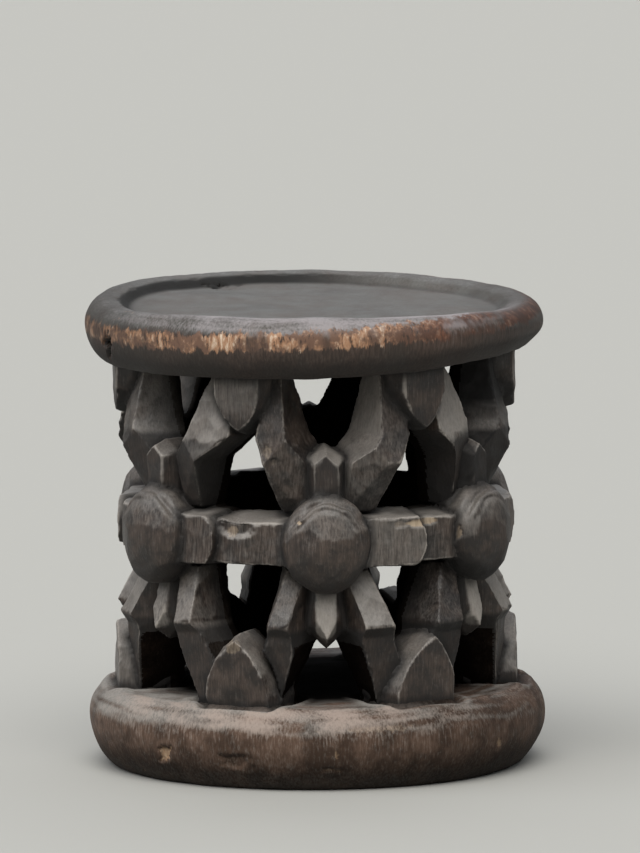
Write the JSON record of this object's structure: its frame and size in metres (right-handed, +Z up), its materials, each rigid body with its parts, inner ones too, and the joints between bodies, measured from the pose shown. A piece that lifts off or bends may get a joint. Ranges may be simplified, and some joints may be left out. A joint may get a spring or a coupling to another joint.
{
  "type": "carved low stool",
  "caption": "Low round stool with a dished seat and a thick base joined by an openwork drum of carved spiders with domed bodies and bent legs, in dark patinated wood.",
  "frame": {"origin": "middle of the base's underside, on the floor", "axes": "+Z up along the stool's axis, -Y towards the front shown in the picture, +X to its right"},
  "size_m": [0.38, 0.38, 0.388],
  "materials": {
    "seat_wood": "adze-cut hardwood, smoke-dark patina, polished by use and worn brown along the rim",
    "openwork_wood": "knife-cut hardwood, smoke-dark matt patina with lighter worn edges",
    "base_wood": "adze-cut hardwood, dark brown patina, scuffed along its edge"
  },
  "bodies": {
    "root": {"base": "base_wood", "base_pendants": "openwork_wood", "seat": "seat_wood", "seat_pendants": "openwork_wood", "spider_1_body": "openwork_wood", "spider_1_head": "openwork_wood", "spider_1_left_side_leg": "openwork_wood", "spider_1_lower_left_leg": "openwork_wood", "spider_1_lower_right_leg": "openwork_wood", "spider_1_right_side_leg": "openwork_wood", "spider_1_tail": "openwork_wood", "spider_1_upper_left_leg": "openwork_wood", "spider_1_upper_right_leg": "openwork_wood", "spider_2_body": "openwork_wood", "spider_2_head": "openwork_wood", "spider_2_left_side_leg": "openwork_wood", "spider_2_lower_left_leg": "openwork_wood", "spider_2_lower_right_leg": "openwork_wood", "spider_2_right_side_leg": "openwork_wood", "spider_2_tail": "openwork_wood", "spider_2_upper_left_leg": "openwork_wood", "spider_2_upper_right_leg": "openwork_wood", "spider_3_body": "openwork_wood", "spider_3_head": "openwork_wood", "spider_3_left_side_leg": "openwork_wood", "spider_3_lower_left_leg": "openwork_wood", "spider_3_lower_right_leg": "openwork_wood", "spider_3_right_side_leg": "openwork_wood", "spider_3_tail": "openwork_wood", "spider_3_upper_left_leg": "openwork_wood", "spider_3_upper_right_leg": "openwork_wood", "spider_4_body": "openwork_wood", "spider_4_head": "openwork_wood", "spider_4_left_side_leg": "openwork_wood", "spider_4_lower_left_leg": "openwork_wood", "spider_4_lower_right_leg": "openwork_wood", "spider_4_right_side_leg": "openwork_wood", "spider_4_tail": "openwork_wood", "spider_4_upper_left_leg": "openwork_wood", "spider_4_upper_right_leg": "openwork_wood", "spider_5_body": "openwork_wood", "spider_5_head": "openwork_wood", "spider_5_left_side_leg": "openwork_wood", "spider_5_lower_left_leg": "openwork_wood", "spider_5_lower_right_leg": "openwork_wood", "spider_5_right_side_leg": "openwork_wood", "spider_5_tail": "openwork_wood", "spider_5_upper_left_leg": "openwork_wood", "spider_5_upper_right_leg": "openwork_wood", "spider_6_body": "openwork_wood", "spider_6_head": "openwork_wood", "spider_6_left_side_leg": "openwork_wood", "spider_6_lower_left_leg": "openwork_wood", "spider_6_lower_right_leg": "openwork_wood", "spider_6_right_side_leg": "openwork_wood", "spider_6_tail": "openwork_wood", "spider_6_upper_left_leg": "openwork_wood", "spider_6_upper_right_leg": "openwork_wood"}
  },
  "joints": []
}
